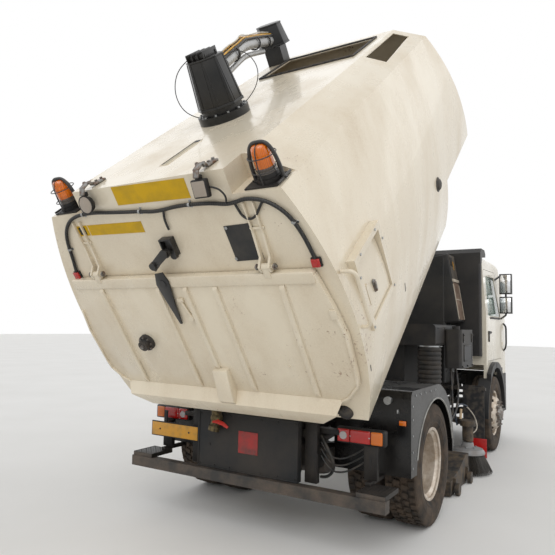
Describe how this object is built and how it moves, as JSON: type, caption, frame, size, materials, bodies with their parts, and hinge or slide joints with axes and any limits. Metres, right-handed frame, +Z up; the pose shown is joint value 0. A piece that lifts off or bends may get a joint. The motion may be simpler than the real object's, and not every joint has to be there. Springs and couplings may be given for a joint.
{
  "type": "street sweeper truck",
  "caption": "Street sweeper truck with tipped debris hopper, hinged rear door, roof boom, side brush, suction nozzle and opening cab doors.",
  "frame": {"origin": "on the ground below the middle of the whole truck's bounding box, hopper tipped", "axes": "+X forward, +Y to the truck's left, +Z up"},
  "size_m": [7.1716, 2.5871, 4.9526],
  "materials": {
    "white_paint": "gloss",
    "frame_black": "satin",
    "pack_grey": "satin",
    "black_plastic": "matte",
    "tyre": "matte",
    "rim_silver": "satin",
    "glass": "gloss",
    "amber": "gloss",
    "red_lens": "gloss",
    "lamp_clear": "gloss",
    "chrome": "polished",
    "cast_iron": "rough",
    "rubber": "matte",
    "bristle": "matte",
    "seat_fabric": "matte"
  },
  "bodies": {
    "chassis": {"chassis_frame": "frame_black", "rear_axle": "frame_black", "front_axle": "frame_black", "drive_line": "cast_iron", "fuel_tank": "frame_black", "underrun_beam": "frame_black", "rear_valance": "frame_black", "tail_lamps": "red_lens", "rear_mudguards": "black_plastic", "power_pack": "pack_grey", "radiator_tower": "pack_grey", "suction_duct": "rubber", "suction_nozzle": "pack_grey", "wheel_flap": "rubber", "cab_shell": "white_paint", "cab_glass": "glass", "dashboard": "black_plastic", "seats": "seat_fabric", "cab_cladding": "black_plastic", "front_bumper": "black_plastic", "headlamps": "lamp_clear"},
    "hopper": {"hopper_shell": "white_paint", "hatch_frame": "white_paint", "beacon_pads": "black_plastic", "beacon_lenses": "amber", "work_lamps": "black_plastic", "boom_mounts": "black_plastic", "door_lever": "frame_black"},
    "rear_door": {"rear_door": "white_paint", "drain_valve": "cast_iron"},
    "side_hatch": {"side_hatch": "white_paint"},
    "roof_boom": {"roof_boom": "black_plastic"},
    "track_rod": {"track_rod": "frame_black"},
    "brush_arm": {"brush_arm": "frame_black"},
    "brush": {"brush_head": "frame_black", "brush_bristles": "bristle"},
    "knuckle_left": {"knuckle_left": "cast_iron"},
    "wheel_front_left": {"tyre_front_left": "tyre", "rim_front_left": "rim_silver"},
    "wheels_rear_left": {"tyres_rear_left": "tyre", "rims_rear_left": "rim_silver"},
    "tip_barrel_left": {"tip_barrel_left": "frame_black"},
    "tip_rod_left": {"tip_rod_left": "chrome"},
    "door_left": {"cab_door_left": "white_paint", "door_glass_left": "glass", "mirror_left": "black_plastic"},
    "knuckle_right": {"knuckle_right": "cast_iron"},
    "wheel_front_right": {"tyre_front_right": "tyre", "rim_front_right": "rim_silver"},
    "wheels_rear_right": {"tyres_rear_right": "tyre", "rims_rear_right": "rim_silver"},
    "tip_barrel_right": {"tip_barrel_right": "frame_black"},
    "tip_rod_right": {"tip_rod_right": "chrome"},
    "door_right": {"cab_door_right": "white_paint", "door_glass_right": "glass", "mirror_right": "black_plastic"}
  },
  "joints": [
    {"name": "steer_left", "type": "hinge", "parent": "chassis", "child": "knuckle_left", "pos_m": [2.3, 0.79, 0.507], "axis": [0, 0, 1], "range_deg": [-35, 35]},
    {"name": "steer_right", "type": "hinge", "parent": "chassis", "child": "knuckle_right", "pos_m": [2.3, -0.79, 0.507], "axis": [0, 0, 1], "range_deg": [-35, 35]},
    {"name": "track_rod_slide", "type": "slide", "parent": "chassis", "child": "track_rod", "axis": [0, 1, 0], "range_m": [-0.111, 0.111]},
    {"name": "front_wheel_left", "type": "hinge", "parent": "knuckle_left", "child": "wheel_front_left", "pos_m": [2.3, 0.966, 0.507], "axis": [0, 1, 0], "continuous": true},
    {"name": "front_wheel_right", "type": "hinge", "parent": "knuckle_right", "child": "wheel_front_right", "pos_m": [2.3, -0.966, 0.507], "axis": [0, 1, 0], "continuous": true},
    {"name": "rear_wheels_left", "type": "hinge", "parent": "chassis", "child": "wheels_rear_left", "pos_m": [-1.15, 0.901, 0.507], "axis": [0, 1, 0], "continuous": true},
    {"name": "rear_wheels_right", "type": "hinge", "parent": "chassis", "child": "wheels_rear_right", "pos_m": [-1.15, -0.901, 0.507], "axis": [0, 1, 0], "continuous": true},
    {"name": "hopper_tip", "type": "hinge", "parent": "chassis", "child": "hopper", "pos_m": [-2.114, 0, 1.023], "axis": [0, -1, 0], "range_deg": [-39.3, 0]},
    {"name": "tip_barrel_turn_left", "type": "hinge", "parent": "chassis", "child": "tip_barrel_left", "pos_m": [-1.8, 0.24, 0.68], "axis": [0, -1, 0], "range_deg": [-21.58, 0.3]},
    {"name": "tip_rod_slide_left", "type": "slide", "parent": "tip_barrel_left", "child": "tip_rod_left", "axis": [-0.0194, 0, 0.9998], "range_m": [-0.2505, 0.001]},
    {"name": "tip_barrel_turn_right", "type": "hinge", "parent": "chassis", "child": "tip_barrel_right", "pos_m": [-1.8, -0.24, 0.68], "axis": [0, -1, 0], "range_deg": [-21.58, 0.3]},
    {"name": "tip_rod_slide_right", "type": "slide", "parent": "tip_barrel_right", "child": "tip_rod_right", "axis": [-0.0194, 0, 0.9998], "range_m": [-0.2505, 0.001]},
    {"name": "rear_door_hinge", "type": "hinge", "parent": "hopper", "child": "rear_door", "pos_m": [-3.17315, 0, 2.00374], "axis": [0, 1, 0], "range_deg": [0, 75]},
    {"name": "side_hatch_hinge", "type": "hinge", "parent": "hopper", "child": "side_hatch", "pos_m": [-2.73176, -1.194, 2.14562], "axis": [-0.7738, 0, -0.6334], "range_deg": [0, 80]},
    {"name": "roof_boom_turn", "type": "hinge", "parent": "hopper", "child": "roof_boom", "pos_m": [-2.52206, 0.09, 3.30987], "axis": [-0.6167, 0, 0.7872], "range_deg": [0, 180]},
    {"name": "brush_arm_swing", "type": "hinge", "parent": "chassis", "child": "brush_arm", "pos_m": [1.27, -0.62, 0.56], "axis": [0, 0, 1], "range_deg": [0, 25]},
    {"name": "brush_spin", "type": "hinge", "parent": "brush_arm", "child": "brush", "pos_m": [0.85, -1.035, 0.25], "axis": [0, 0, 1], "continuous": true},
    {"name": "cab_door_left_hinge", "type": "hinge", "parent": "chassis", "child": "door_left", "pos_m": [3.103, 1.065, 1.9], "axis": [0, 0, -1], "range_deg": [0, 70]},
    {"name": "cab_door_right_hinge", "type": "hinge", "parent": "chassis", "child": "door_right", "pos_m": [3.103, -1.065, 1.9], "axis": [0, 0, 1], "range_deg": [0, 70]}
  ],
  "couplings": [
    {"joint": "steer_right", "follows": "steer_left", "ratio": 1},
    {"joint": "track_rod_slide", "follows": "steer_left", "m_per_rad": -0.178},
    {"joint": "tip_barrel_turn_left", "follows": "hopper_tip", "ratio": 0.54158},
    {"joint": "tip_rod_slide_left", "follows": "hopper_tip", "m_per_rad": 0.3638},
    {"joint": "tip_barrel_turn_right", "follows": "hopper_tip", "ratio": 0.54158},
    {"joint": "tip_rod_slide_right", "follows": "hopper_tip", "m_per_rad": 0.3638}
  ]
}
